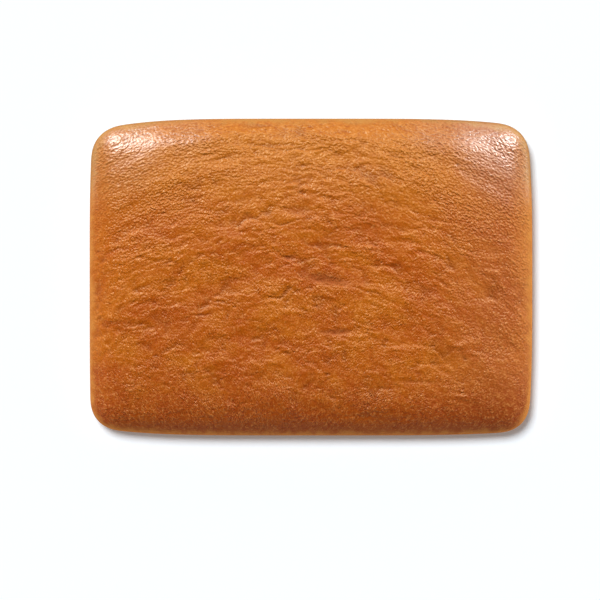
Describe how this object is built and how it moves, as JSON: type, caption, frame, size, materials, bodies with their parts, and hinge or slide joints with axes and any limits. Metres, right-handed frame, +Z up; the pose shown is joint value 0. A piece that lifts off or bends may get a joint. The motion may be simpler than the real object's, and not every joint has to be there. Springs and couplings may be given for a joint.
{
  "type": "lebkuchen",
  "caption": "Plain rectangular lebkuchen: a flat slab of honey gingerbread with rounded corners, a softly domed top and a glossy, finely wrinkled brown crust.",
  "frame": {"origin": "middle of the flat base, on the surface that the slab lies on", "axes": "+X along the length, +Y towards the back long edge, +Z up through the top crust"},
  "size_m": [0.14, 0.1002, 0.0135],
  "materials": {
    "crust": "glossy, finely wrinkled baked crust"
  },
  "bodies": {
    "root": {"lebkuchen": "crust"}
  },
  "joints": []
}
